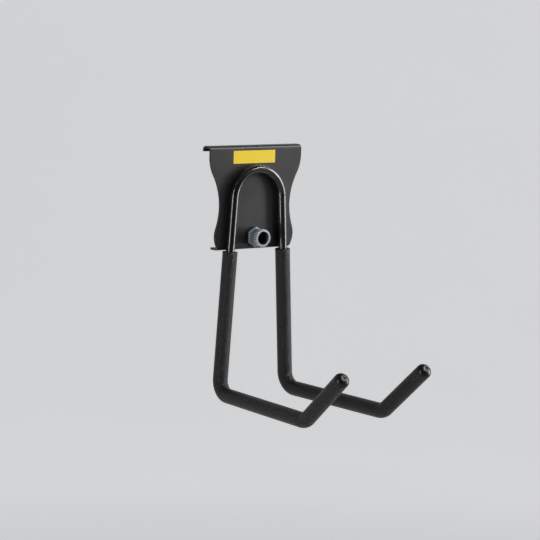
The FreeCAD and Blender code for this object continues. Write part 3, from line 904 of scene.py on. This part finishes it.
def makePaper():  # matt seamless paper; its glow stands in for lamps that light the paper alone
    material, tree, shader, place = startMaterial("palePaper")
    away = addNode(tree, "ShaderNodeVectorMath", {
        0: place, 1: (0, 0, studio["floorZ"]),
    }, operation="DISTANCE")
    glow = addNode(tree, "ShaderNodeMapRange", {
        "Value": away.outputs["Value"], "From Min": studio["glowStart"], "From Max": studio["glowEnd"],
        "To Min": studio["floorGlow"], "To Max": studio["wallGlow"],
    })
    fibre = addNode(tree, "ShaderNodeTexNoise", {
        "Vector": place, "Scale": 1 / studio["fibreSize"], "Detail": 2.0,
    })
    tint = addNode(tree, "ShaderNodeMix", {
        0: fibre.outputs["Fac"], mixA: linear(studio["paperColour"]), mixB: linear(studio["fibreColour"]),
    }, data_type="RGBA")
    setSockets(tree, shader, {
        "Base Color": tint.outputs[mixResult], "Emission Color": tint.outputs[mixResult],
        "Emission Strength": glow.outputs["Result"], "Roughness": 0.9,
    })
    return material


def makeFloor():
    bm = bmesh.new()
    start = bmesh.ops.create_circle(
        bm, cap_ends=True, segments=studio["roundPoints"], radius=studio["floorRadius"],
        matrix=Matrix.Translation((0, 0, studio["floorZ"])),
    )
    edges = edgesAmong(start["verts"])
    cove = studio["coveRadius"]
    radius = studio["floorRadius"]
    rise = 0.0
    for step in range(1, studio["coveSteps"] + 1):
        turn = quarter * step / studio["coveSteps"]
        nextRadius = studio["floorRadius"] + cove * math.sin(turn)
        nextRise = cove * (1 - math.cos(turn))
        edges = pushEdges(bm, edges, Vector((0, 0, nextRise - rise)), nextRadius / radius)
        radius, rise = nextRadius, nextRise
    pushEdges(bm, edges, Vector((0, 0, studio["wallHeight"])))
    makeStudioMesh("studioFloor", bm, makePaper())


blackCard = {
    "from": math.radians(-135),
    "to": math.radians(30),
    "radius": 2.4,
    "bottom": -0.6,
    "height": 2.4,
    "bendSteps": 24,
    "colour": "#060606",
    "napColour": "#0a0a0a",
    "napSize": 25 * mm,
}


def makeCard():  # a curved black card in front: the gloss shows it as dark flanks, the camera doesn't see it
    c = blackCard
    bm = bmesh.new()
    foot = outward(c["from"], 0) * c["radius"] + Vector((0, 0, c["bottom"]))
    verts = [bm.verts.new(foot), bm.verts.new(foot + Vector((0, 0, c["height"])))]
    edges = [bm.edges.new(verts)]
    spinEdges(bm, edges, (0, 0, 0), Vector((0, 0, 1)), c["to"] - c["from"], c["bendSteps"])
    material, tree, shader, place = startMaterial("blackFelt")  # matt felt on card
    nap = addNode(tree, "ShaderNodeTexNoise", {"Vector": place, "Scale": 1 / c["napSize"]})
    tint = addNode(tree, "ShaderNodeMix", {
        0: nap.outputs["Fac"], mixA: linear(c["colour"]), mixB: linear(c["napColour"]),
    }, data_type="RGBA")
    setSockets(tree, shader, {"Base Color": tint.outputs[mixResult], "Roughness": 1.0})
    card = makeStudioMesh("blackCard", bm, material)
    card.visible_camera = False


def makeWorld():
    world = bpy.data.worlds.new("paleStudio")
    world.use_nodes = True
    tree = world.node_tree
    tree.nodes.clear()
    soft = addNode(tree, "ShaderNodeBackground", {
        "Color": linear(studio["worldColour"]), "Strength": studio["worldStrength"],
    })
    addNode(tree, "ShaderNodeOutputWorld", {"Surface": soft.outputs["Background"]})
    bpy.context.scene.world = world


lamps = {
    "keyRight": {
        "azimuth": 64, "elevation": 10, "distance": 1.6, "width": 0.35, "height": 1.3, "power": 12.5,
    },
    "edgeLeft": {
        "azimuth": -76, "elevation": 2, "distance": 1.3, "width": 0.08, "height": 1.0, "power": 4,
    },
    "topSoft": {
        "azimuth": 48, "elevation": 45, "distance": 1.5, "width": 0.9, "height": 0.12, "power": 4,
    },
}


def makeLamp(name, lamp):
    light = bpy.data.lights.new(name, "AREA")
    light.shape = "RECTANGLE"
    light.size = lamp["width"]
    light.size_y = lamp["height"]
    light.energy = lamp["power"]
    light.spread = studio["lampSpread"]
    away = outward(math.radians(lamp["azimuth"]), math.radians(lamp["elevation"]))
    thing = bpy.data.objects.new(name, light)
    thing.location = Vector(studio["lampAim"]) + away * lamp["distance"]
    thing.rotation_euler = away.to_track_quat("Z", "Y").to_euler()
    bpy.context.scene.collection.objects.link(thing)


photoCamera = {
    "azimuth": math.radians(-37.115),
    "elevation": math.radians(7.786),
    "roll": math.radians(1.725),
    "distance": 1871 * mm,
    "aimRight": 14.26 * mm,
    "aimUp": -65.33 * mm,
    "focalLength": 139.29,
    "sensorWidth": 36,
}


def makeCamera():
    c = photoCamera
    back = outward(c["azimuth"], c["elevation"])
    level = Vector((math.cos(c["azimuth"]), math.sin(c["azimuth"]), 0))
    rolled = Matrix.Rotation(c["roll"], 3, back)
    right = rolled @ level
    up = back.cross(right)
    data = bpy.data.cameras.new("photoCamera")
    data.lens = c["focalLength"]
    data.sensor_width = c["sensorWidth"]
    camera = bpy.data.objects.new("photoCamera", data)
    place = back * c["distance"] + right * c["aimRight"] + up * c["aimUp"]
    turned = Matrix((right, up, back)).transposed().to_4x4()
    camera.matrix_world = Matrix.Translation(place) @ turned
    bpy.context.scene.collection.objects.link(camera)
    bpy.context.scene.camera = camera


makeFloor()
makeCard()
makeWorld()
for lampName, lampSettings in lamps.items():
    makeLamp(lampName, lampSettings)
makeCamera()
bpy.context.scene.view_settings.view_transform = "Standard"
print("studio set")
